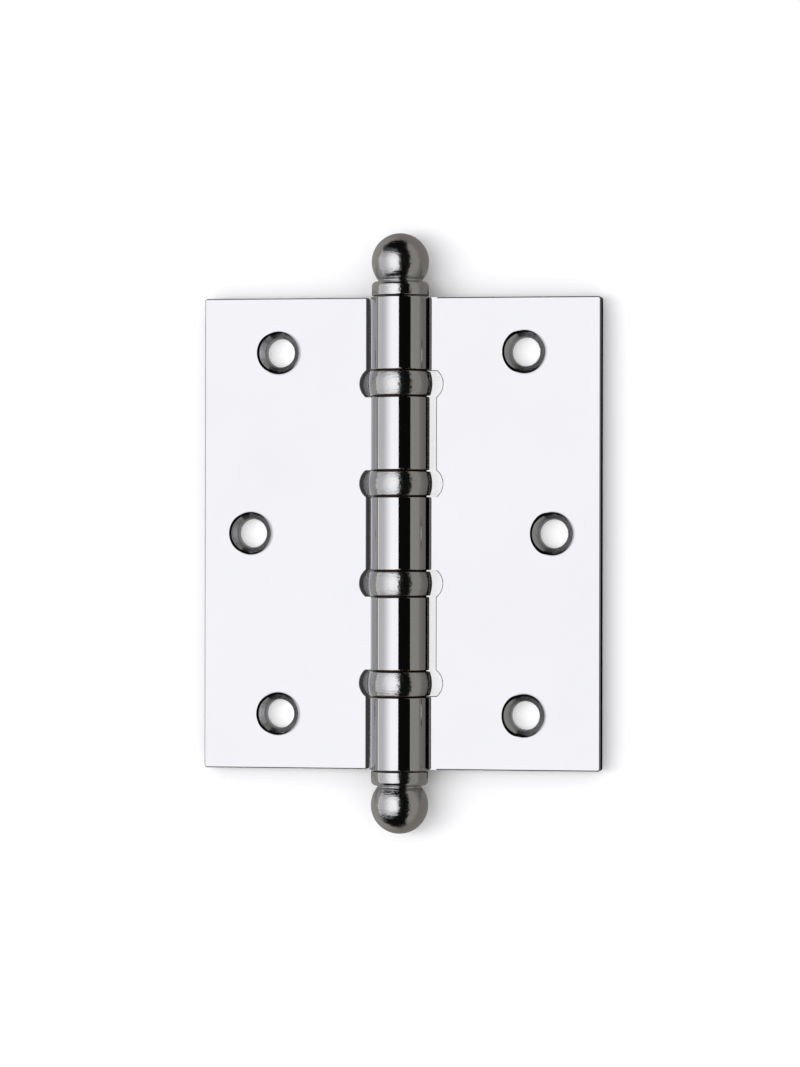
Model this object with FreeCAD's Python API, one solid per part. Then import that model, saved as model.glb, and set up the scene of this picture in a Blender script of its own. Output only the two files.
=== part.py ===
import FreeCAD, Part
import math
import os

# Five-knuckle ball-bearing butt hinge, opened flat and lying on its back.
# X runs across the open leaves, Y along the pin and Z up out of the countersunk faces, in mm.
# The origin stands on the floor, under the middle of the pin.

# Leaves
LEAF_HEIGHT = 102.0
LEAF_REACH = 43.35           # pin axis to the outer edge of a leaf
LEAF_THICKNESS = 4.0
CLOSED_GAP = 3.0             # between the two countersunk faces when the hinge is shut
PLATE_INNER_EDGE = 7.6       # pin axis to the edge that faces the other leaf's knuckles
LEAF_CORNER_RADIUS = 0.6
LEAF_EDGE_RADIUS = 0.3
LEAF_BACK_CHAMFER = 0.2
INNER_EDGE_RADIUS = 0.2      # along the notches and beside the barrel

# Barrel
KNUCKLE_COUNT = 5
KNUCKLE_LENGTH = 15.75
KNUCKLE_RADIUS = 6.35
KNUCKLE_END_RADIUS = 0.25
NECK_FILLET = 0.25           # where a plate runs into its own knuckle

# Clearance notch in both leaves beside every bearing ring
NOTCH_DEPTH = 1.45

# Screw holes, given from the pin axis and from the middle of the leaf
SCREW_HOLE_RADIUS = 3.1
COUNTERSINK_RADIUS = 4.57    # where the cone would meet the face without its rolled rim
COUNTERSINK_HALF_ANGLE = 45.0
RIM_ROLL_RADIUS = 1.0        # polishing has rolled the rim far over
LIP_RADIUS = 0.8             # between the cone and the bore
OUTER_HOLE_X = 26.9
OUTER_HOLE_Y = 39.2
MIDDLE_HOLE_X = 33.0

# Pin and its running fits
PIN_RADIUS = 3.175
PIN_CLEARANCE = 0.03         # radial, between the pin and the knuckle bores
PIN_CHAMFER = 0.3
PIN_END_PLAY = 0.25          # between each finial collar and the end of the barrel
SEAT_GAP = 0.02              # film between two faces pressed together

# Ball finials
BALL_RADIUS = 6.2
BALL_CENTRE = 7.55           # beyond the end of the barrel
COLLAR_RADIUS = 6.15
COLLAR_SHOULDER = 2.3        # beyond the end of the barrel, where the shoulder starts to round off
SHOULDER_RADIUS = 1.0
NECK_GROOVE_RADIUS = 0.25    # hollow between the shoulder and the ball
COLLAR_SEAT_RADIUS = 0.2
STUD_RADIUS = 1.95
STUD_LENGTH = 8.0
STUD_HOLE_RADIUS = 2.0
STUD_HOLE_DEPTH = 9.0

# Thrust bearings
RING_CROWN_RADIUS = 6.95     # at the middle of the crowned ring
RING_END_RADIUS = 6.5
RING_BORE_RADIUS = 5.6
RING_EDGE_RADIUS = 0.25
FLANGE_THICKNESS = 0.25
FLANGE_RADIUS = 5.75
RACE_OUTER_RADIUS = 5.55
RACE_BORE_RADIUS = 3.25
RING_END_CLEARANCE = 0.05    # between the ring and the race flanges
RACE_FACE_OFFSET = 0.45      # from the plane of the ball centres to each race face
BALL_COUNT = 12
BEARING_BALL_RADIUS = 0.79
BALL_PITCH_RADIUS = 4.4
GROOVE_CLEARANCE = 0.03
CAGE_THICKNESS = 0.7
CAGE_INNER_RADIUS = 3.3
CAGE_OUTER_RADIUS = 5.5
POCKET_CLEARANCE = 0.05

# Worked out from the sizes above
AXIS_HEIGHT = RING_CROWN_RADIUS
FACE_HEIGHT = AXIS_HEIGHT - CLOSED_GAP / 2
BACK_HEIGHT = FACE_HEIGHT - LEAF_THICKNESS
BARREL_HALF = LEAF_HEIGHT / 2
BEARING_SPACE = (LEAF_HEIGHT - KNUCKLE_COUNT * KNUCKLE_LENGTH) / (KNUCKLE_COUNT - 1)
KNUCKLE_PITCH = KNUCKLE_LENGTH + BEARING_SPACE
BORE_RADIUS = PIN_RADIUS + PIN_CLEARANCE

RIGHT = 1
LEFT = -1
ORIGIN = FreeCAD.Vector(0, 0, 0)
X_AXIS = FreeCAD.Vector(1, 0, 0)
Y_AXIS = FreeCAD.Vector(0, 1, 0)
Z_AXIS = FreeCAD.Vector(0, 0, 1)
TOLERANCE = 0.001


def knuckle_middle(number):
    """Y of the middle of a knuckle, counted from the top."""
    return BARREL_HALF - KNUCKLE_LENGTH / 2 - (number - 1) * KNUCKLE_PITCH


def bearing_middle(number):
    """Y of the middle of a bearing, counted from the top."""
    return knuckle_middle(number) - KNUCKLE_PITCH / 2


def barrel_cylinder(radius, start, length):
    """A cylinder on the pin axis that runs up from the given Y."""
    return Part.makeCylinder(radius, length, FreeCAD.Vector(0, start, AXIS_HEIGHT), Y_AXIS)


def at(radius, y):
    """A point of a turned outline, given by its distance from the pin axis and its Y."""
    return FreeCAD.Vector(radius, y, AXIS_HEIGHT)


def turned(edges):
    """A solid turned round the pin axis from the edges of a closed outline."""
    outline = Part.Wire(edges)
    return Part.Face(outline).revolve(FreeCAD.Vector(0, 0, AXIS_HEIGHT), Y_AXIS, 360)


def arc_between(centre, start, end):
    """The shorter circular arc round a centre from one point to another."""
    radius = (start - centre).Length
    middle = (start + end) / 2 - centre
    return Part.Arc(start, centre + middle.normalize() * radius, end).toShape()


def ring_edges(solid, radius, heights):
    """The circles round the pin axis with this radius and one of these Y values."""
    found = []
    for edge in solid.Edges:
        if edge.Degenerated or not isinstance(edge.Curve, Part.Circle):
            continue
        same_radius = abs(edge.Curve.Radius - radius) < TOLERANCE
        same_height = any(abs(edge.Curve.Center.y - y) < TOLERANCE for y in heights)
        if same_radius and same_height:
            found.append(edge)
    return found


# Leaves

def notch_segments():
    """The arc-shaped pieces removed from a plate edge beside the four rings."""
    half_chord = BEARING_SPACE / 2
    arc_radius = (half_chord ** 2 + NOTCH_DEPTH ** 2) / (2 * NOTCH_DEPTH)
    centre_x = PLATE_INNER_EDGE + NOTCH_DEPTH - arc_radius
    cutters = []
    for number in range(1, KNUCKLE_COUNT):
        base = FreeCAD.Vector(centre_x, bearing_middle(number), BACK_HEIGHT)
        cutters.append(Part.makeCylinder(arc_radius, LEAF_THICKNESS, base, Z_AXIS))
    return cutters


def leaf_plate(knuckles):
    """The flat plate, notched beside the rings, with a neck towards each of its knuckles."""
    width = LEAF_REACH - PLATE_INNER_EDGE
    corner = FreeCAD.Vector(PLATE_INNER_EDGE, -BARREL_HALF, BACK_HEIGHT)
    plate = Part.makeBox(width, LEAF_HEIGHT, LEAF_THICKNESS, corner)
    plate = round_plate(plate.cut(notch_segments()))
    neck_length = PLATE_INNER_EDGE + INNER_EDGE_RADIUS
    necks = []
    for number in knuckles:
        start = FreeCAD.Vector(0, knuckle_middle(number) - KNUCKLE_LENGTH / 2, BACK_HEIGHT)
        necks.append(Part.makeBox(neck_length, KNUCKLE_LENGTH, LEAF_THICKNESS, start))
    return plate.fuse(necks).removeSplitter()


def face_edges(plate, x_from, x_to):
    """The edges of the countersunk face whose middles lie between two X values."""
    found = []
    for edge in plate.Edges:
        on_face = edge.BoundBox.ZMin > FACE_HEIGHT - TOLERANCE
        if on_face and x_from < edge.CenterOfMass.x < x_to:
            found.append(edge)
    return found


def back_edges(plate):
    """The straight outer edges of the back, which never lie on a notch or beside the barrel."""
    found = []
    for edge in plate.Edges:
        on_back = edge.BoundBox.ZMax < BACK_HEIGHT + TOLERANCE
        if on_back and edge.CenterOfMass.x > PLATE_INNER_EDGE + NOTCH_DEPTH:
            found.append(edge)
    return found


def round_plate(plate):
    """Rounded corners, polished front edges and a small chamfer round the back."""
    corners = []
    for edge in plate.Edges:
        upright = edge.BoundBox.ZLength > LEAF_THICKNESS - TOLERANCE
        if upright and edge.CenterOfMass.x > LEAF_REACH - TOLERANCE:
            corners.append(edge)
    plate = plate.makeFillet(LEAF_CORNER_RADIUS, corners)
    notch_end = PLATE_INNER_EDGE + NOTCH_DEPTH
    plate = plate.makeFillet(LEAF_EDGE_RADIUS, face_edges(plate, notch_end, LEAF_REACH + TOLERANCE))
    plate = plate.makeChamfer(LEAF_BACK_CHAMFER, back_edges(plate))
    return plate.makeFillet(INNER_EDGE_RADIUS, face_edges(plate, TOLERANCE, notch_end))


def screw_hole_tool(x, y):
    """A through hole with its countersink, as one cutting solid."""
    bottom = FreeCAD.Vector(x, y, BACK_HEIGHT)
    top = FreeCAD.Vector(x, y, FACE_HEIGHT)
    depth = (COUNTERSINK_RADIUS - SCREW_HOLE_RADIUS) / math.tan(math.radians(COUNTERSINK_HALF_ANGLE))
    bore = Part.makeCylinder(SCREW_HOLE_RADIUS, LEAF_THICKNESS, bottom, Z_AXIS)
    cone = Part.makeCone(COUNTERSINK_RADIUS, SCREW_HOLE_RADIUS, depth, top, Z_AXIS.negative())
    return bore.fuse(cone)


def cone_edges(plate, radius):
    """The circles of this radius at either end of the countersink cones."""
    found = []
    for edge in plate.Edges:
        above_back = edge.BoundBox.ZMin > BACK_HEIGHT + TOLERANCE
        if above_back and isinstance(edge.Curve, Part.Circle) and abs(edge.Curve.Radius - radius) < TOLERANCE:
            found.append(edge)
    return found


def cut_screw_holes(plate):
    """Three countersunk holes with rolled rims and rounded lips."""
    places = [
        (OUTER_HOLE_X, OUTER_HOLE_Y),
        (MIDDLE_HOLE_X, 0.0),
        (OUTER_HOLE_X, -OUTER_HOLE_Y),
    ]
    plate = plate.cut([screw_hole_tool(x, y) for x, y in places])
    plate = plate.makeFillet(RIM_ROLL_RADIUS, cone_edges(plate, COUNTERSINK_RADIUS))
    return plate.makeFillet(LIP_RADIUS, cone_edges(plate, SCREW_HOLE_RADIUS))


def knuckle(number):
    """One solid knuckle with softened ends."""
    start = knuckle_middle(number) - KNUCKLE_LENGTH / 2
    body = barrel_cylinder(KNUCKLE_RADIUS, start, KNUCKLE_LENGTH)
    ends = ring_edges(body, KNUCKLE_RADIUS, [start, start + KNUCKLE_LENGTH])
    return body.makeFillet(KNUCKLE_END_RADIUS, ends)


def neck_fillet(number):
    """The concave fillet between the countersunk face and the side of a knuckle."""
    start = knuckle_middle(number) - KNUCKLE_LENGTH / 2
    drop = CLOSED_GAP / 2 - NECK_FILLET
    centre_x = math.sqrt((KNUCKLE_RADIUS + NECK_FILLET) ** 2 - drop ** 2)
    inner_x = centre_x - 2 * NECK_FILLET
    corner = FreeCAD.Vector(inner_x, start, FACE_HEIGHT)
    block = Part.makeBox(centre_x - inner_x, KNUCKLE_LENGTH, NECK_FILLET, corner)
    hollow_base = FreeCAD.Vector(centre_x, start, FACE_HEIGHT + NECK_FILLET)
    return block.cut(Part.makeCylinder(NECK_FILLET, KNUCKLE_LENGTH, hollow_base, Y_AXIS))


def make_leaf(side, knuckles):
    """A plate with its knuckles in one piece, drawn on the right and mirrored for the left."""
    plate = cut_screw_holes(leaf_plate(knuckles))
    leaf = plate.fuse([knuckle(number) for number in knuckles])
    leaf = leaf.fuse([neck_fillet(number) for number in knuckles])
    leaf = leaf.cut(barrel_cylinder(BORE_RADIUS, -BARREL_HALF, LEAF_HEIGHT))
    if side == LEFT:
        leaf = leaf.mirror(ORIGIN, X_AXIS)
    return leaf


# Pin and finials

def make_pin():
    """The pin, a little longer than the barrel, tapped at both ends for the finials."""
    half = BARREL_HALF + PIN_END_PLAY - SEAT_GAP
    pin = barrel_cylinder(PIN_RADIUS, -half, 2 * half)
    pin = pin.makeChamfer(PIN_CHAMFER, ring_edges(pin, PIN_RADIUS, [-half, half]))
    lower = barrel_cylinder(STUD_HOLE_RADIUS, -half, STUD_HOLE_DEPTH)
    upper = barrel_cylinder(STUD_HOLE_RADIUS, half - STUD_HOLE_DEPTH, STUD_HOLE_DEPTH)
    return pin.cut([lower, upper])


def groove_centre(shoulder, ball):
    """Middle of the arc that is tangent to both the shoulder and the ball from outside."""
    apart = (ball - shoulder).Length
    along = (ball - shoulder).normalize()
    across = FreeCAD.Vector(-along.y, along.x, 0)
    if across.x < 0:
        across = across.negative()
    from_shoulder = SHOULDER_RADIUS + NECK_GROOVE_RADIUS
    from_ball = BALL_RADIUS + NECK_GROOVE_RADIUS
    step = (apart ** 2 + from_shoulder ** 2 - from_ball ** 2) / (2 * apart)
    offset = math.sqrt(from_shoulder ** 2 - step ** 2)
    return shoulder + along * step + across * offset


def make_top_finial():
    """Collar, neck groove, ball and stud in one turned piece."""
    seat = BARREL_HALF + PIN_END_PLAY
    shoulder = at(COLLAR_RADIUS - SHOULDER_RADIUS, BARREL_HALF + COLLAR_SHOULDER)
    ball = at(0, BARREL_HALF + BALL_CENTRE)
    groove = groove_centre(shoulder, ball)
    collar_foot = at(COLLAR_RADIUS, seat)
    collar_top = at(COLLAR_RADIUS, shoulder.y)
    shoulder_end = shoulder + (groove - shoulder).normalize() * SHOULDER_RADIUS
    ball_start = ball + (groove - ball).normalize() * BALL_RADIUS
    ball_end = at(0, ball.y + BALL_RADIUS)
    finial = turned([
        Part.makeLine(at(0, seat), collar_foot),
        Part.makeLine(collar_foot, collar_top),
        arc_between(shoulder, collar_top, shoulder_end),
        arc_between(groove, shoulder_end, ball_start),
        Part.Arc(ball_start, at(BALL_RADIUS, ball.y), ball_end).toShape(),
        Part.makeLine(ball_end, at(0, seat)),
    ])
    finial = finial.makeFillet(COLLAR_SEAT_RADIUS, ring_edges(finial, COLLAR_RADIUS, [seat]))
    stud = barrel_cylinder(STUD_RADIUS, seat - STUD_LENGTH, STUD_LENGTH + SEAT_GAP)
    return finial.fuse(stud)


def make_bottom_finial():
    """The top finial turned end for end."""
    return make_top_finial().mirror(ORIGIN, Y_AXIS)


# Thrust bearings, drawn about y = 0 and lifted into place

def make_ring():
    """The crowned sleeve that closes a bearing on the outside."""
    half = BEARING_SPACE / 2 - SEAT_GAP - FLANGE_THICKNESS - RING_END_CLEARANCE
    top = at(RING_END_RADIUS, half)
    bottom = at(RING_END_RADIUS, -half)
    crown = Part.Arc(top, at(RING_CROWN_RADIUS, 0), bottom).toShape()
    bore = Part.makePolygon([bottom, at(RING_BORE_RADIUS, -half), at(RING_BORE_RADIUS, half), top])
    ring = turned([crown] + bore.Edges)
    return ring.makeFillet(RING_EDGE_RADIUS, ring_edges(ring, RING_END_RADIUS, [-half, half]))


def make_lower_race():
    """A flanged race with a groove for the balls, on the knuckle below the bearing."""
    seat = -BEARING_SPACE / 2 + SEAT_GAP
    flange = seat + FLANGE_THICKNESS
    face = -RACE_FACE_OFFSET
    outline = Part.makePolygon([
        at(RACE_BORE_RADIUS, seat),
        at(FLANGE_RADIUS, seat),
        at(FLANGE_RADIUS, flange),
        at(RACE_OUTER_RADIUS, flange),
        at(RACE_OUTER_RADIUS, face),
        at(RACE_BORE_RADIUS, face),
        at(RACE_BORE_RADIUS, seat),
    ])
    race = turned(outline.Edges)
    groove_radius = BEARING_BALL_RADIUS + GROOVE_CLEARANCE
    centre = FreeCAD.Vector(0, 0, AXIS_HEIGHT)
    return race.cut(Part.makeTorus(BALL_PITCH_RADIUS, groove_radius, centre, Y_AXIS))


def make_upper_race():
    """The lower race turned over, under the knuckle above the bearing."""
    return make_lower_race().mirror(ORIGIN, Y_AXIS)


def ball_centres():
    """The middles of the balls, evenly spaced round the pin."""
    centres = []
    for index in range(BALL_COUNT):
        angle = 2 * math.pi * index / BALL_COUNT
        x = BALL_PITCH_RADIUS * math.cos(angle)
        z = AXIS_HEIGHT + BALL_PITCH_RADIUS * math.sin(angle)
        centres.append(FreeCAD.Vector(x, 0, z))
    return centres


def make_balls():
    """The loose steel balls of one bearing."""
    return Part.makeCompound([Part.makeSphere(BEARING_BALL_RADIUS, centre) for centre in ball_centres()])


def make_cage():
    """The flat cage that keeps the balls apart."""
    base = -CAGE_THICKNESS / 2
    cage = barrel_cylinder(CAGE_OUTER_RADIUS, base, CAGE_THICKNESS)
    cage = cage.cut(barrel_cylinder(CAGE_INNER_RADIUS, base, CAGE_THICKNESS))
    pocket_radius = BEARING_BALL_RADIUS + POCKET_CLEARANCE
    pockets = []
    for centre in ball_centres():
        start = centre + FreeCAD.Vector(0, base, 0)
        pockets.append(Part.makeCylinder(pocket_radius, CAGE_THICKNESS, start, Y_AXIS))
    return cage.cut(pockets)


def bearing_parts():
    """Every piece of the four bearings by node name."""
    makers = {
        "bearing_ring": make_ring,
        "upper_race": make_upper_race,
        "lower_race": make_lower_race,
        "ball_cage": make_cage,
        "bearing_balls": make_balls,
    }
    parts = {}
    for number in range(1, KNUCKLE_COUNT):
        for name, make in makers.items():
            shape = make()
            shape.translate(FreeCAD.Vector(0, bearing_middle(number), 0))
            parts[f"{name}_{number}"] = shape
    return parts


def main():
    os.makedirs("parts", exist_ok=True)
    parts = {
        "left_leaf": make_leaf(LEFT, [2, 4]),
        "right_leaf": make_leaf(RIGHT, [1, 3, 5]),
        "hinge_pin": make_pin(),
        "top_ball_finial": make_top_finial(),
        "bottom_ball_finial": make_bottom_finial(),
    }
    parts.update(bearing_parts())
    for name, shape in parts.items():
        shape.exportStep(f"parts/{name}.step")


main()
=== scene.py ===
"""Looks of a five-knuckle ball-bearing butt hinge with ball finials, opened flat on a pale floor."""

import logging
import math
from dataclasses import dataclass
from enum import Enum
from typing import Any, Optional

import bpy
from mathutils import Matrix, Vector


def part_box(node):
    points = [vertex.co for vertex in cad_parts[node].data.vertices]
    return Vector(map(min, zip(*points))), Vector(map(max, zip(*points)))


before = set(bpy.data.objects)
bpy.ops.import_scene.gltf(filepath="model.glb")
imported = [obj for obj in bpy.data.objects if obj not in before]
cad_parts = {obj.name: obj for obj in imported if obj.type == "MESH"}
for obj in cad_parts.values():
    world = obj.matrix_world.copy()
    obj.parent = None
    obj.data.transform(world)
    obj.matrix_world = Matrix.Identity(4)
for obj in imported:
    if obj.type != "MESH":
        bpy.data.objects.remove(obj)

LOG = logging.getLogger("hinge")
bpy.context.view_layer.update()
MM = 0.001
BEARINGS = (1, 2, 3, 4)
SIDE_BLEND = 1.0        # mm over which an unbuffed zone ends across the leaf
LOW_BLEND = 0.1         # mm over which it ends downwards
HIGH_BLEND = 0.3        # mm over which it ends upwards
HAZE_PATCH = 4          # length of a hazy patch, in ripples
FULL_FRAME = 36.0       # width of the camera's sensor, in mm
CLIPPING = (0.05, 50.0)  # nearest and farthest distance that the camera shows


# Colours and node helpers

def linear(code: str) -> tuple[float, float, float, float]:
    """Turn an sRGB hex colour into linear light.

    Args:
        code: Six hex digits, with or without a leading hash.

    Returns:
        Linear red, green, blue and an alpha of one.
    """
    digits = code.lstrip("#")
    levels = [int(digits[start:start + 2], 16) / 255 for start in (0, 2, 4)]
    red, green, blue = (
        level / 12.92 if level <= 0.04045 else ((level + 0.055) / 1.055) ** 2.4
        for level in levels
    )
    return red, green, blue, 1.0


def add_node(
    tree: bpy.types.NodeTree,
    kind: str,
    settings: Optional[dict[str, Any]] = None,
    inputs: Optional[dict[Any, Any]] = None,
) -> bpy.types.Node:
    """Add a node with its settings, socket values and incoming links.

    Args:
        tree: The node tree that receives the node.
        kind: Blender's identifier of the node type.
        settings: Properties set on the node itself.
        inputs: Values or output sockets for its inputs, by name or by position.

    Returns:
        The new node.
    """
    node = tree.nodes.new(kind)
    for name, value in (settings or {}).items():
        setattr(node, name, value)
    for key, value in (inputs or {}).items():
        socket = node.inputs[key]
        if isinstance(value, bpy.types.NodeSocket):
            tree.links.new(value, socket)
        else:
            socket.default_value = value
    return node


def fade(tree: bpy.types.NodeTree, value: Any, start: float, end: float) -> bpy.types.NodeSocket:
    """A smooth step from 0 at the start to 1 at the end."""
    step = add_node(tree, "ShaderNodeMapRange", {"interpolation_type": "SMOOTHSTEP"}, {
        "Value": value,
        "From Min": start,
        "From Max": end,
    })
    return step.outputs["Result"]


def blend(tree: bpy.types.NodeTree, share: Any, first: Any, second: Any) -> bpy.types.NodeSocket:
    """A colour that goes from the first to the second as the share goes from 0 to 1."""
    mix = add_node(tree, "ShaderNodeMix", {"data_type": "RGBA"}, {"Factor": share, 6: first, 7: second})
    return mix.outputs[2]


class Lay(Enum):
    """The direction that a surface was worked in."""

    BUFFED = "buffed"    # cloth wheel, in all directions
    TURNED = "turned"    # lathe rings round the pin


@dataclass(frozen=True)
class UnbuffedZone:
    """A part of a leaf that the buffing wheel doesn't reach.

    Attributes:
        across: Its nearest and farthest distance from the pin axis, in mm.
        height: Its lowest and highest Z while the hinge lies open, in mm.
        roughness: Extra blur of the surface there.
    """

    across: tuple[float, float]
    height: tuple[float, float]
    roughness: float

    def share(self, tree: bpy.types.NodeTree, place: bpy.types.NodeSocket) -> bpy.types.NodeSocket:
        """How far a point of the leaf belongs to the zone.

        Args:
            tree: The material's node tree.
            place: Object coordinates.

        Returns:
            A socket that is 1 inside the zone and 0 on the polished faces.
        """
        split = add_node(tree, "ShaderNodeSeparateXYZ", inputs={"Vector": place})
        distance = add_node(tree, "ShaderNodeMath", {"operation": "ABSOLUTE"}, {0: split.outputs["X"]})
        near, far = self.across
        low, high = self.height
        limits = (
            fade(tree, distance.outputs["Value"], (near - SIDE_BLEND) * MM, near * MM),
            fade(tree, distance.outputs["Value"], (far + SIDE_BLEND) * MM, far * MM),
            fade(tree, split.outputs["Z"], (low - LOW_BLEND) * MM, low * MM),
            fade(tree, split.outputs["Z"], (high + HIGH_BLEND) * MM, high * MM),
        )
        inside = limits[0]
        for limit in limits[1:]:
            inside = add_node(tree, "ShaderNodeMath", {"operation": "MULTIPLY"}, {
                0: inside,
                1: limit,
            }).outputs["Value"]
        return inside


@dataclass(frozen=True)
class PolishedMetal:
    """A polished or plated metal with its faint working marks.

    Attributes:
        name: What the metal is and how its surface was made.
        face: Mirror colour as sRGB hex.
        shade: Colour of the thinner, hazier patches as sRGB hex.
        roughness: Blur of the mirror where it is cleanest.
        haze: Extra roughness in the hazier patches.
        lay: Direction of the working marks.
        mark_mm: Width of one working mark.
        mark_depth_mm: Height of the marks.
        wave_mm: Length of the slow ripples that buffing leaves.
        wave_depth_mm: Height of those ripples.
        unbuffed: Parts of the piece that are less polished.
    """

    name: str
    face: str
    shade: str
    roughness: float
    haze: float
    lay: Lay
    mark_mm: float
    mark_depth_mm: float
    wave_mm: float
    wave_depth_mm: float
    unbuffed: tuple[UnbuffedZone, ...] = ()

    def stretch(self) -> tuple[float, float, float]:
        """Scale of the marks along X, Y and Z, from the way the surface was worked."""
        along = {
            Lay.BUFFED: (1.0, 1.0, 1.0),
            Lay.TURNED: (0.4, 1.0, 0.4),
        }
        return along[self.lay]

    def build(self) -> bpy.types.Material:
        """Make the node material.

        Returns:
            A metal whose colour, roughness and height come from seeded noise at real scale.
        """
        material = bpy.data.materials.new(self.name)
        material.use_nodes = True
        tree = material.node_tree
        tree.nodes.clear()
        place = add_node(tree, "ShaderNodeTexCoord").outputs["Object"]
        lay = add_node(tree, "ShaderNodeMapping", inputs={"Vector": place, "Scale": self.stretch()})
        marks = add_node(tree, "ShaderNodeTexNoise", inputs={
            "Vector": lay.outputs["Vector"],
            "Scale": 1 / (self.mark_mm * MM),
            "Detail": 3.0,
            "Roughness": 0.6,
        })
        waves = add_node(tree, "ShaderNodeTexNoise", inputs={
            "Vector": place,
            "Scale": 1 / (self.wave_mm * MM),
            "Detail": 2.0,
        })
        haze = add_node(tree, "ShaderNodeTexNoise", inputs={
            "Vector": lay.outputs["Vector"],
            "Scale": 1 / (HAZE_PATCH * self.wave_mm * MM),
            "Detail": 6.0,
            "Roughness": 0.65,
        })
        tone = blend(tree, haze.outputs["Fac"], linear(self.face), linear(self.shade))
        blur = add_node(tree, "ShaderNodeMapRange", inputs={
            "Value": haze.outputs["Fac"],
            "From Min": 0.35,
            "From Max": 0.75,
            "To Min": self.roughness,
            "To Max": self.roughness + self.haze,
        }).outputs["Result"]
        for zone in self.unbuffed:
            blur = add_node(tree, "ShaderNodeMath", {"operation": "MULTIPLY_ADD"}, {
                0: zone.share(tree, place),
                1: zone.roughness,
                2: blur,
            }).outputs["Value"]
        slow = add_node(tree, "ShaderNodeBump", inputs={
            "Height": waves.outputs["Fac"],
            "Strength": 1.0,
            "Distance": self.wave_depth_mm * MM,
        })
        fine = add_node(tree, "ShaderNodeBump", inputs={
            "Height": marks.outputs["Fac"],
            "Strength": 1.0,
            "Distance": self.mark_depth_mm * MM,
            "Normal": slow.outputs["Normal"],
        })
        shader = add_node(tree, "ShaderNodeBsdfPrincipled", inputs={
            "Base Color": tone,
            "Metallic": 1.0,
            "Roughness": blur,
            "Normal": fine.outputs["Normal"],
        })
        add_node(tree, "ShaderNodeOutputMaterial", inputs={"Surface": shader.outputs["BSDF"]})
        return material


# The countersinks and bores are left as the drill cut them: fine rings blur what they mirror.
SCREW_HOLES = UnbuffedZone(across=(20, 39), height=(1.9, 4.9), roughness=0.16)
# The backs face the wood and are only ground flat before plating: satin, with no clear mirror image.
LEAF_BACK = UnbuffedZone(across=(9, 50), height=(0, 1.6), roughness=0.32)
# Bright chromium over buffed brass: a near-black-to-white mirror, slightly cool, with slow ripples.
LEAF_CHROME = PolishedMetal(
    name="bright_chromium_plate_on_buffed_brass",
    face="c6c6c9",
    shade="bfbfc2",
    roughness=0.035,
    haze=0.03,
    lay=Lay.BUFFED,
    mark_mm=0.5,
    mark_depth_mm=0.0001,
    wave_mm=8.0,
    wave_depth_mm=0.008,
    unbuffed=(SCREW_HOLES, LEAF_BACK),
)
# The same plating on lathe-turned pieces: fine rings round the pin fray the edges of reflections.
TURNED_CHROME = PolishedMetal(
    name="bright_chromium_plate_on_turned_brass",
    face="c4c4c6",
    shade="b9b9bb",
    roughness=0.12,
    haze=0.05,
    lay=Lay.TURNED,
    mark_mm=0.55,
    mark_depth_mm=0.08,
    wave_mm=6.0,
    wave_depth_mm=0.03,
)
# Phosphor bronze painted near black: painted shade of the narrow gaps between the knuckles, with warm
# patches where the metal's own colour shows.
RACE_BRONZE = PolishedMetal(
    name="turned_phosphor_bronze_darkened_as_painted_shade",
    face="4a3520",
    shade="0d0a07",
    roughness=0.4,
    haze=0.15,
    lay=Lay.TURNED,
    mark_mm=0.12,
    mark_depth_mm=0.002,
    wave_mm=3.0,
    wave_depth_mm=0.001,
)
# Sheet brass stamped into a cage: yellow and slightly dull.
CAGE_BRASS = PolishedMetal(
    name="stamped_sheet_brass",
    face="d3ab5e",
    shade="b98f48",
    roughness=0.25,
    haze=0.12,
    lay=Lay.BUFFED,
    mark_mm=0.15,
    mark_depth_mm=0.001,
    wave_mm=2.0,
    wave_depth_mm=0.002,
)
# Hardened steel, centreless ground: grey with fine rings.
PIN_STEEL = PolishedMetal(
    name="centreless_ground_steel",
    face="a9a9ab",
    shade="98989a",
    roughness=0.16,
    haze=0.1,
    lay=Lay.TURNED,
    mark_mm=0.08,
    mark_depth_mm=0.0006,
    wave_mm=4.0,
    wave_depth_mm=0.0005,
)
# Lapped bearing steel: a clean, slightly dark mirror.
BALL_STEEL = PolishedMetal(
    name="lapped_bearing_steel",
    face="b4b4b6",
    shade="acacae",
    roughness=0.05,
    haze=0.02,
    lay=Lay.BUFFED,
    mark_mm=0.05,
    mark_depth_mm=0.00005,
    wave_mm=1.0,
    wave_depth_mm=0.0001,
)


class Finishes:
    """The hinge's finishes, each built once and shared by the pieces that have it."""

    def __init__(self) -> None:
        """Start with no material built."""
        self.made: dict[str, bpy.types.Material] = {}

    def dress(self, node: str, metal: PolishedMetal, slot: str) -> bpy.types.Object:
        """Give a node of the frame its finish.

        Args:
            node: Name of the node in the frame.
            metal: Finish of the piece.
            slot: The record's material slot; not used.

        Returns:
            The dressed object.
        """
        if metal.name not in self.made:
            self.made[metal.name] = metal.build()
        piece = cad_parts[node]
        piece.data.materials.clear()
        piece.data.materials.append(self.made[metal.name])
        LOG.info("%s: %s", node, metal.name)
        return piece


# Sub-assemblies of the hinge

@dataclass
class LeafPair:
    """The two leaves with their knuckles."""

    finishes: Finishes
    nodes: tuple[str, ...] = ("left_leaf", "right_leaf")

    def build(self) -> list[bpy.types.Object]:
        """Dress both leaves in buffed chromium plate."""
        return [self.finishes.dress(node, LEAF_CHROME, "leaf_chrome") for node in self.nodes]


@dataclass
class PinWithFinials:
    """The steel pin and the two ball finials screwed onto it."""

    finishes: Finishes
    finials: tuple[str, ...] = ("top_ball_finial", "bottom_ball_finial")

    def build(self) -> list[bpy.types.Object]:
        """Dress the pin in ground steel and the finials in turned chromium plate."""
        pieces = [self.finishes.dress("hinge_pin", PIN_STEEL, "pin_steel")]
        for node in self.finials:
            pieces.append(self.finishes.dress(node, TURNED_CHROME, "finial_chrome"))
        return pieces


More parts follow.
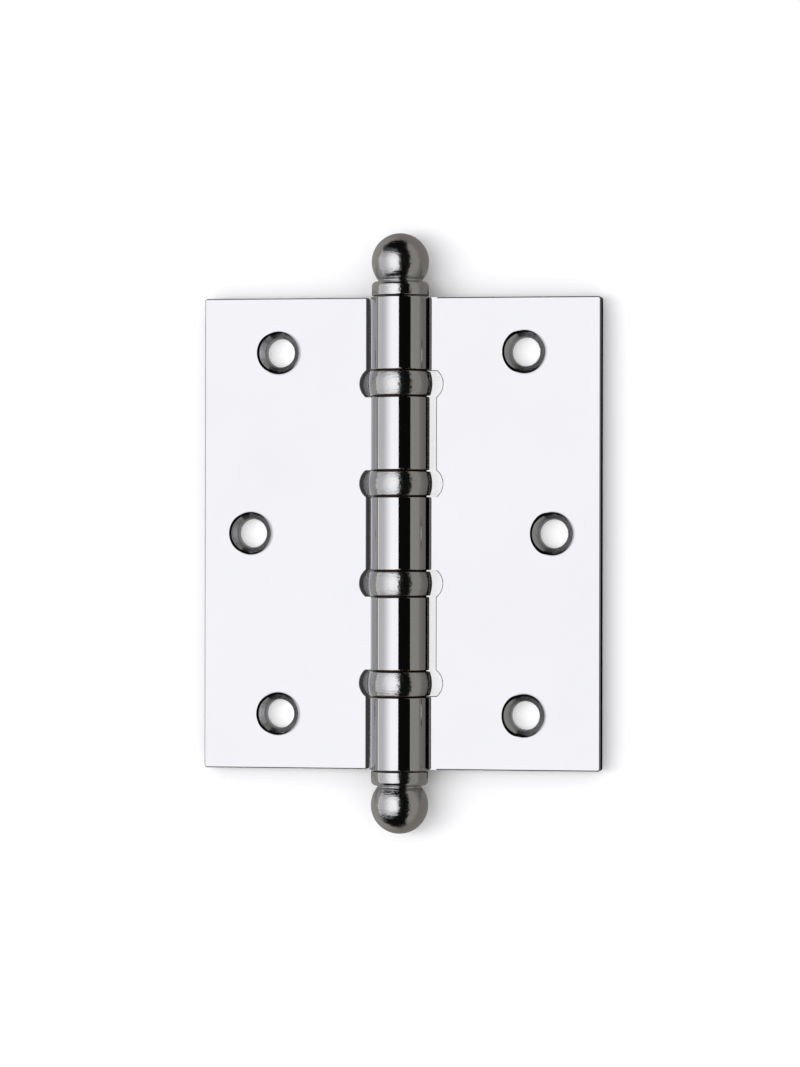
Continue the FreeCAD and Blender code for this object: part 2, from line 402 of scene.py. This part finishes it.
@dataclass
class Bearing:
    """One thrust bearing: crowned ring, two races, cage and balls."""

    finishes: Finishes
    number: int

    def build(self) -> list[bpy.types.Object]:
        """Dress the five pieces of the bearing."""
        looks = (
            ("bearing_ring", TURNED_CHROME, "ring_chrome"),
            ("upper_race", RACE_BRONZE, "race_bronze"),
            ("lower_race", RACE_BRONZE, "race_bronze"),
            ("ball_cage", CAGE_BRASS, "cage_brass"),
            ("bearing_balls", BALL_STEEL, "ball_steel"),
        )
        return [self.finishes.dress(f"{kind}_{self.number}", metal, slot) for kind, metal, slot in looks]


# Studio

@dataclass
class Floor:
    """A plain pale floor under the hinge: white paper whose glow under the leaves is painted light, with
    no lamp below it.

    The polished metal mirrors it as painted tones, softer than the paper: painted light on the softbox's
    side and painted shade, darker where the hinge keeps the light off it.

    Attributes:
        half_width: Reach each way.
        paper: Colour of the paper as sRGB hex.
        table_glow: Painted light: the paper itself glows under the leaves.
        gap_glow: The same painted light, brighter, close to the dark strip.
        dark_strip: X between which the paper under the barrel gets no such light, in mm.
        strip_rim: Half the width over which the light begins at the strip's edges, in mm.
        gap_reach: Distance from the strip over which the gap glow gives way to the table glow, in mm.
        painted_light_softbox_side: Tone in the metal on the softbox's side.
        painted_shade_away_from_softbox: Tone in the metal on the other side.
        side_turn: X over which the one side's tone gives way to the other's, in mm.
        painted_shade_beyond_pin_ends: Tone in the metal well beyond both ends of the pin.
        end_turn: Distance along the pin over which that tone begins, in mm.
        end_side: X over which it gives way to the far side's tone, in mm.
        painted_shade_near_pin: Tone in the metal close to the pin.
        painted_light_below_holes: Tone in the metal below the screw holes.
        barrel_turn: Distance from the pin over which the first gives way to the second, in mm.
        painted_shade_below_leaf_edges: Tone in the metal below the outer edges of the leaves.
        edge_turn: Distance inside those edges over which that tone begins, in mm.
        side_rim: Distance outside the leaves' long sides over which the open floor begins, in mm. The
            light under the leaves ends over the same distance inside them.
        end_rim: The same at the leaves' ends, in mm.
    """

    half_width: float = 4.0
    paper: str = "f4f4f5"
    table_glow: float = 0.37
    gap_glow: float = 0.75
    dark_strip: tuple[float, float] = (-14.5, 4.5)
    strip_rim: float = 0.5
    gap_reach: tuple[float, float] = (8, 12)
    # Painted reflection tones, a fixed emission that the metal mirrors: lighter on the softbox's side,
    # painted shade on the far side, beyond the pin's ends, near the pin and below the leaves' outer
    # edges, lighter below the screw holes.
    painted_light_softbox_side: str = "b0ada6"
    painted_shade_away_from_softbox: str = "908b87"
    side_turn: tuple[float, float] = (-20, 0)
    painted_shade_beyond_pin_ends: str = "161515"
    end_turn: tuple[float, float] = (130, 160)
    end_side: tuple[float, float] = (45, 15)
    painted_shade_near_pin: str = "464442"
    painted_light_below_holes: str = "8e8d8a"
    barrel_turn: tuple[float, float] = (9, 12)
    painted_shade_below_leaf_edges: str = "060606"
    edge_turn: tuple[float, float] = (4, 2)
    side_rim: tuple[float, float] = (3, 5)
    end_rim: tuple[float, float] = (1, 3)

    def build(self) -> bpy.types.Object:
        """Make the floor plane.

        Returns:
            The floor.
        """
        mesh = bpy.data.meshes.new("floor")
        reach = self.half_width
        corners = [(-reach, -reach, 0), (reach, -reach, 0), (reach, reach, 0), (-reach, reach, 0)]
        mesh.from_pydata(corners, [], [(0, 1, 2, 3)])
        floor = bpy.data.objects.new("floor", mesh)
        bpy.context.scene.collection.objects.link(floor)
        floor.data.materials.append(self.material())
        return floor

    def material(self) -> bpy.types.Material:
        """White paper to look at, with painted glow, and painted reflection tones for the metal."""
        material = bpy.data.materials.new("matt_white_paper_with_painted_glow_and_reflection")
        material.use_nodes = True
        tree = material.node_tree
        tree.nodes.clear()
        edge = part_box("right_leaf")[1]
        place = add_node(tree, "ShaderNodeTexCoord").outputs["Object"]
        split = add_node(tree, "ShaderNodeSeparateXYZ", inputs={"Vector": place})
        across = add_node(tree, "ShaderNodeMath", {"operation": "ABSOLUTE"}, {0: split.outputs["X"]})
        along = add_node(tree, "ShaderNodeMath", {"operation": "ABSOLUTE"}, {0: split.outputs["Y"]})
        clear = add_node(tree, "ShaderNodeMath", {"operation": "MAXIMUM"}, {
            0: fade(tree, across.outputs["Value"], *(edge.x + reach * MM for reach in self.side_rim)),
            1: fade(tree, along.outputs["Value"], *(edge.y + reach * MM for reach in self.end_rim)),
        })
        # Painted reflection of the open floor: lighter on the softbox's side, painted shade on the far
        # side and well beyond the ends.
        painted_open_floor_tone = blend(
            tree, fade(tree, split.outputs["X"], *(x * MM for x in self.side_turn)),
            linear(self.painted_light_softbox_side), linear(self.painted_shade_away_from_softbox),
        )
        beyond = add_node(tree, "ShaderNodeMath", {"operation": "MULTIPLY"}, {
            0: fade(tree, along.outputs["Value"], *(y * MM for y in self.end_turn)),
            1: fade(tree, split.outputs["X"], *(x * MM for x in self.end_side)),
        })
        painted_open_floor_tone = blend(tree, beyond.outputs["Value"], painted_open_floor_tone, linear(self.painted_shade_beyond_pin_ends))
        # Painted shade below the hinge: darker near the pin, lighter below the screw holes, near black
        # below the leaves' outer edges.
        under = blend(
            tree, fade(tree, across.outputs["Value"], *(x * MM for x in self.barrel_turn)),
            linear(self.painted_shade_near_pin), linear(self.painted_light_below_holes),
        )
        under = blend(
            tree, fade(tree, across.outputs["Value"], *(edge.x - inset * MM for inset in self.edge_turn)),
            under, linear(self.painted_shade_below_leaf_edges),
        )
        # Painted reflection: the metal mirrors this fixed emission instead of the lit paper.
        painted_reflection = add_node(tree, "ShaderNodeEmission", inputs={
            "Color": blend(tree, clear.outputs["Value"], under, painted_open_floor_tone),
            "Strength": 1.0,
        })
        paper = add_node(tree, "ShaderNodeBsdfDiffuse", inputs={"Color": linear(self.paper)})
        # Painted light: the paper glows by itself, as strongly as the painted glow strength says.
        glow = add_node(tree, "ShaderNodeEmission", inputs={
            "Color": linear(self.paper),
            "Strength": self.painted_glow_strength(tree, split.outputs["X"], along.outputs["Value"]),
        })
        seen = add_node(tree, "ShaderNodeAddShader", inputs={
            0: paper.outputs["BSDF"],
            1: glow.outputs["Emission"],
        })
        path = add_node(tree, "ShaderNodeLightPath")
        both = add_node(tree, "ShaderNodeMixShader", inputs={
            0: path.outputs["Is Camera Ray"],
            1: painted_reflection.outputs["Emission"],
            2: seen.outputs["Shader"],
        })
        add_node(tree, "ShaderNodeOutputMaterial", inputs={"Surface": both.outputs["Shader"]})
        return material

    def painted_glow_strength(
        self, tree: bpy.types.NodeTree, across: bpy.types.NodeSocket, along: bpy.types.NodeSocket,
    ) -> bpy.types.NodeSocket:
        """Painted light: glow of the paper under both leaves, but not in the strip below the barrel.

        Args:
            tree: The floor material's node tree.
            across: X on the floor.
            along: Distance along Y from the middle of the hinge.

        Returns:
            The strength of the light.
        """
        left, right = (x * MM for x in self.dark_strip)
        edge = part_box("right_leaf")[1]
        shifted = add_node(tree, "ShaderNodeMath", {"operation": "SUBTRACT"}, {
            0: across,
            1: (left + right) / 2,
        })
        aside = add_node(tree, "ShaderNodeMath", {"operation": "ABSOLUTE"}, {0: shifted.outputs["Value"]})
        distance = add_node(tree, "ShaderNodeMath", {"operation": "ABSOLUTE"}, {0: across})
        half = (right - left) / 2
        rim = self.strip_rim * MM
        strength = add_node(tree, "ShaderNodeMapRange", inputs={
            "Value": fade(tree, aside.outputs["Value"], *(half + reach * MM for reach in self.gap_reach)),
            "To Min": self.gap_glow,
            "To Max": self.table_glow,
        }).outputs["Result"]
        for limit in (
            fade(tree, aside.outputs["Value"], half - rim, half + rim),
            fade(tree, distance.outputs["Value"], *(edge.x - inset * MM for inset in self.side_rim)),
            fade(tree, along, *(edge.y - inset * MM for inset in self.end_rim)),
        ):
            strength = add_node(tree, "ShaderNodeMath", {"operation": "MULTIPLY"}, {
                0: limit,
                1: strength,
            }).outputs["Value"]
        return strength


@dataclass(frozen=True)
class Panel:
    """A flat glowing card that the metal mirrors. It runs from its top edge to its low edge.

    Attributes:
        name: What the card is.
        top: X and Z of the upper edge.
        low: X and Z of the lower edge.
        half_length: Reach along the pin each way.
        tint: Colour of its light as sRGB hex.
        top_glow: Brightness at and near the upper edge.
        low_glow: Brightness at the lower edge.
        rise: Shares of the height where the brightness starts and stops changing.
        ends: Share of the brightness left at the two ends along the pin.
        even: Share of the half length over which the brightness stays even.
    """

    name: str
    top: tuple[float, float]
    low: tuple[float, float]
    half_length: float
    tint: str
    top_glow: float
    low_glow: float
    rise: tuple[float, float] = (0.0, 1.0)
    ends: float = 1.0
    even: float = 0.3

    def build(self) -> bpy.types.Object:
        """Make the card, unseen by the camera but seen in reflections."""
        mesh = bpy.data.meshes.new(self.name)
        reach = self.half_length
        corners = [
            (self.low[0], -reach, self.low[1]),
            (self.low[0], reach, self.low[1]),
            (self.top[0], reach, self.top[1]),
            (self.top[0], -reach, self.top[1]),
        ]
        mesh.from_pydata(corners, [], [(0, 1, 2, 3)])
        mapping = mesh.uv_layers.new(name="card")
        for loop, place in zip(mapping.data, ((-1, 0), (1, 0), (1, 1), (-1, 1))):
            loop.uv = place
        card = bpy.data.objects.new(self.name, mesh)
        bpy.context.scene.collection.objects.link(card)
        card.data.materials.append(self.glow())
        card.visible_camera = False
        card.visible_diffuse = False
        card.visible_shadow = False
        return card

    def glow(self) -> bpy.types.Material:
        """A light that fades towards the card's lower edge and towards its two ends."""
        material = bpy.data.materials.new(self.name)
        material.use_nodes = True
        tree = material.node_tree
        tree.nodes.clear()
        place = add_node(tree, "ShaderNodeUVMap", {"uv_map": "card"})
        split = add_node(tree, "ShaderNodeSeparateXYZ", inputs={"Vector": place.outputs["UV"]})
        height = add_node(tree, "ShaderNodeMapRange", inputs={
            "Value": fade(tree, split.outputs["Y"], *self.rise),
            "To Min": self.low_glow,
            "To Max": self.top_glow,
        })
        along = add_node(tree, "ShaderNodeMath", {"operation": "ABSOLUTE"}, {0: split.outputs["X"]})
        length = add_node(tree, "ShaderNodeMapRange", inputs={
            "Value": fade(tree, along.outputs["Value"], self.even, 1.0),
            "To Min": 1.0,
            "To Max": self.ends,
        })
        strength = add_node(tree, "ShaderNodeMath", {"operation": "MULTIPLY"}, {
            0: height.outputs["Result"],
            1: length.outputs["Result"],
        })
        light = add_node(tree, "ShaderNodeEmission", inputs={
            "Color": linear(self.tint),
            "Strength": strength.outputs["Value"],
        })
        add_node(tree, "ShaderNodeOutputMaterial", inputs={"Surface": light.outputs["Emission"]})
        return material


@dataclass(frozen=True)
class SoftLamp:
    """A large soft lamp that lights the floor and casts the soft shadows.

    Attributes:
        name: What the lamp is.
        place: Where it hangs.
        width: Its size across.
        length: Its size along the pin.
        power: Watts.
    """

    name: str
    place: tuple[float, float, float]
    width: float
    length: float
    power: float

    def build(self) -> bpy.types.Object:
        """Make the lamp, aimed at the hinge and left out of its reflections."""
        data = bpy.data.lights.new(self.name, "AREA")
        data.shape = "RECTANGLE"
        data.size = self.width
        data.size_y = self.length
        data.energy = self.power
        lamp = bpy.data.objects.new(self.name, data)
        lamp.location = self.place
        lamp.rotation_mode = "QUATERNION"
        lamp.rotation_quaternion = Vector(self.place).to_track_quat("Z", "Y")
        lamp.visible_glossy = False
        lamp.visible_camera = False
        bpy.context.scene.collection.objects.link(lamp)
        return lamp


@dataclass
class Studio:
    """Floor, cards, lamps, surroundings and camera.

    Attributes:
        camera_distance: From the middle of the pin to the camera.
        camera_tilt: Lean of the camera towards the three-knuckle leaf, in degrees.
        camera_roll: Turn of the picture, in degrees.
        lens: Focal length in mm, on a full frame.
        wall_tint: Colour of the walls as sRGB hex.
        wall_glow: Brightness of the walls as they light the floor.
        backdrop_glow: Brightness of the walls as they are seen.
        room_tint: Colour of the room in the mirrors as sRGB hex.
        horizon_glow: Brightness of the room at the horizon, in the mirrors.
        ceiling_glow: Its brightness above that.
        horizon_height: Z of the direction where the one has given way to the other.
        lengthwise: Share of Y in the direction over which the horizon goes dark.
        panels: The cards that the metal mirrors.
        lamps: The lamps that light the floor.
    """

    camera_distance: float = 0.870
    camera_tilt: float = 9.3
    camera_roll: float = 0.1
    lens: float = 136.1
    wall_tint: str = "f4f4f5"
    wall_glow: float = 1.03
    backdrop_glow: float = 0.9
    room_tint: str = "f1efe9"
    horizon_glow: float = 0.30
    ceiling_glow: float = 0.006
    horizon_height: float = 0.14
    lengthwise: tuple[float, float] = (0.9, 0.7)
    panels: tuple[Panel, ...] = (
        Panel(
            name="softbox_over_the_left_leaf",
            top=(0.06, 0.95),
            low=(-0.80, 0.155),
            half_length=0.58,
            tint="fdfdfe",
            top_glow=1.68,
            low_glow=0.80,
            rise=(0.2, 0.66),
            ends=0.55,
        ),
        Panel(
            name="bright_strip_under_the_softbox",
            top=(-0.86, 0.15),
            low=(-0.86, 0.06),
            half_length=0.62,
            tint="fbf9f2",
            top_glow=1.25,
            low_glow=1.25,
        ),
        Panel(
            name="grey_card_on_the_right",
            top=(0.80, 0.67),
            low=(0.80, 0.0),
            half_length=2.0,
            tint="c9c7bf",
            top_glow=0.68,
            low_glow=0.66,
        ),
    )
    lamps: tuple[SoftLamp, ...] = (
        SoftLamp(
            name="soft_key_lamp",
            place=(-0.34, 0.0, 0.85),
            width=0.3,
            length=0.8,
            power=3.4,
        ),
    )

    def build(self) -> None:
        """Set up everything round the hinge."""
        Floor().build()
        for panel in self.panels:
            panel.build()
        for lamp in self.lamps:
            lamp.build()
        self.surroundings()
        self.camera()
        bpy.context.scene.view_settings.view_transform = "Standard"

    def surroundings(self) -> None:
        """A dim room in the mirrors, pale walls that light the floor and stand behind it."""
        world = bpy.data.worlds.new("dim_room")
        world.use_nodes = True
        tree = world.node_tree
        tree.nodes.clear()
        direction = add_node(tree, "ShaderNodeTexCoord").outputs["Generated"]
        split = add_node(tree, "ShaderNodeSeparateXYZ", inputs={"Vector": direction})
        along = add_node(tree, "ShaderNodeMath", {"operation": "ABSOLUTE"}, {0: split.outputs["Y"]})
        glow = add_node(tree, "ShaderNodeMath", {"operation": "MULTIPLY"}, {
            0: fade(tree, split.outputs["Z"], self.horizon_height, 0.0),
            1: fade(tree, along.outputs["Value"], *self.lengthwise),
        })
        light = add_node(tree, "ShaderNodeMapRange", inputs={
            "Value": glow.outputs["Value"],
            "To Min": self.ceiling_glow,
            "To Max": self.horizon_glow,
        })
        room = add_node(tree, "ShaderNodeBackground", inputs={
            "Color": linear(self.room_tint),
            "Strength": light.outputs["Result"],
        })
        walls = add_node(tree, "ShaderNodeBackground", inputs={
            "Color": linear(self.wall_tint),
            "Strength": self.wall_glow,
        })
        pale = add_node(tree, "ShaderNodeBackground", inputs={
            "Color": linear(self.wall_tint),
            "Strength": self.backdrop_glow,
        })
        path = add_node(tree, "ShaderNodeLightPath")
        unseen = add_node(tree, "ShaderNodeMixShader", inputs={
            0: path.outputs["Is Diffuse Ray"],
            1: room.outputs["Background"],
            2: walls.outputs["Background"],
        })
        both = add_node(tree, "ShaderNodeMixShader", inputs={
            0: path.outputs["Is Camera Ray"],
            1: unseen.outputs["Shader"],
            2: pale.outputs["Background"],
        })
        add_node(tree, "ShaderNodeOutputWorld", inputs={"Surface": both.outputs["Shader"]})
        bpy.context.scene.world = world

    def camera(self) -> bpy.types.Object:
        """A long-lens camera above the pin, leaning to the side of the three-knuckle leaf."""
        low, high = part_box("hinge_pin")
        aim = (low + high) / 2
        tilt = math.radians(self.camera_tilt)
        away = Vector((math.sin(tilt), 0.0, math.cos(tilt)))
        data = bpy.data.cameras.new("camera")
        data.lens = self.lens
        data.sensor_width = FULL_FRAME
        data.clip_start, data.clip_end = CLIPPING
        camera = bpy.data.objects.new("camera", data)
        right = Vector((0.0, 1.0, 0.0)).cross(away)
        turn = Matrix((right, Vector((0.0, 1.0, 0.0)), away)).transposed().to_4x4()
        roll = Matrix.Rotation(math.radians(self.camera_roll), 4, "Z")
        camera.matrix_world = Matrix.Translation(aim + away * self.camera_distance) @ turn @ roll
        bpy.context.scene.collection.objects.link(camera)
        bpy.context.scene.camera = camera
        return camera


def main() -> None:
    """Build the hinge's looks piece by piece, then the studio round it."""
    logging.basicConfig(level=logging.INFO, format="%(name)s %(message)s")
    finishes = Finishes()
    LeafPair(finishes).build()
    PinWithFinials(finishes).build()
    for number in BEARINGS:
        Bearing(finishes, number).build()
    Studio().build()


if __name__ == "__main__":
    main()
